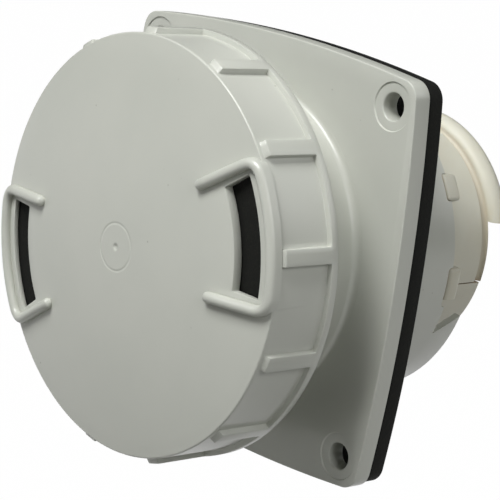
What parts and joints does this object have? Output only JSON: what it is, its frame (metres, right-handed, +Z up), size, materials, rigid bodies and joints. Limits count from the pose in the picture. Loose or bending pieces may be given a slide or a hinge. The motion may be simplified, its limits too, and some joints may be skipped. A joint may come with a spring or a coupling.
{
  "type": "panel inlet",
  "caption": "Pin-and-sleeve generator inlet for panel mounting: square flange with gasket, round collar with pins, bayonet cap and rear terminal cover.",
  "frame": {"origin": "centre of the panel cut-out, on the panel's outer face", "axes": "+X to the right, +Y into the panel along the plug axis, +Z up, seen from the front"},
  "size_m": [0.11, 0.1101, 0.11],
  "materials": {
    "light_grey_plastic": "fine moulded grain",
    "natural_plastic": "smooth moulded",
    "black_rubber": "matt",
    "brass": "turned",
    "zinc_plated_steel": "zinc plated"
  },
  "bodies": {
    "housing": {"flange_plate": "light_grey_plastic", "flange_housing": "light_grey_plastic", "rear_skirt": "light_grey_plastic", "flange_gasket": "black_rubber", "contact_carrier": "natural_plastic", "carrier_seal": "black_rubber", "contact_retainer": "natural_plastic", "earth_pin": "brass", "phase_pin_1": "brass", "phase_pin_2": "brass", "phase_pin_3": "brass", "neutral_pin": "brass", "pilot_pin": "brass", "earth_pin_clamp_screw_1": "zinc_plated_steel", "earth_pin_clamp_screw_2": "zinc_plated_steel", "phase_pin_1_clamp_screw_1": "zinc_plated_steel", "phase_pin_1_clamp_screw_2": "zinc_plated_steel", "phase_pin_2_clamp_screw_1": "zinc_plated_steel", "phase_pin_2_clamp_screw_2": "zinc_plated_steel", "phase_pin_3_clamp_screw_1": "zinc_plated_steel", "phase_pin_3_clamp_screw_2": "zinc_plated_steel", "neutral_pin_clamp_screw_1": "zinc_plated_steel", "neutral_pin_clamp_screw_2": "zinc_plated_steel", "pilot_clamp_screw": "zinc_plated_steel", "carrier_screw_1": "zinc_plated_steel", "carrier_screw_2": "zinc_plated_steel", "carrier_screw_3": "zinc_plated_steel", "retainer_screw_1": "zinc_plated_steel", "retainer_screw_2": "zinc_plated_steel", "upper_terminal_cover": "natural_plastic", "lower_terminal_cover": "natural_plastic"},
    "seal": {"cap_seal": "black_rubber"},
    "cap": {"protective_cap": "light_grey_plastic"}
  },
  "joints": [
    {"name": "cap_lift", "type": "slide", "parent": "housing", "child": "seal", "axis": [0, -1, 0], "range_m": [0, 0.00224]},
    {"name": "cap_turn", "type": "hinge", "parent": "seal", "child": "cap", "pos_m": [0, 0, 0], "axis": [0, -1, 0], "range_deg": [0, 40]}
  ],
  "couplings": [
    {"joint": "cap_lift", "follows": "cap_turn", "m_per_rad": 0.0032}
  ]
}
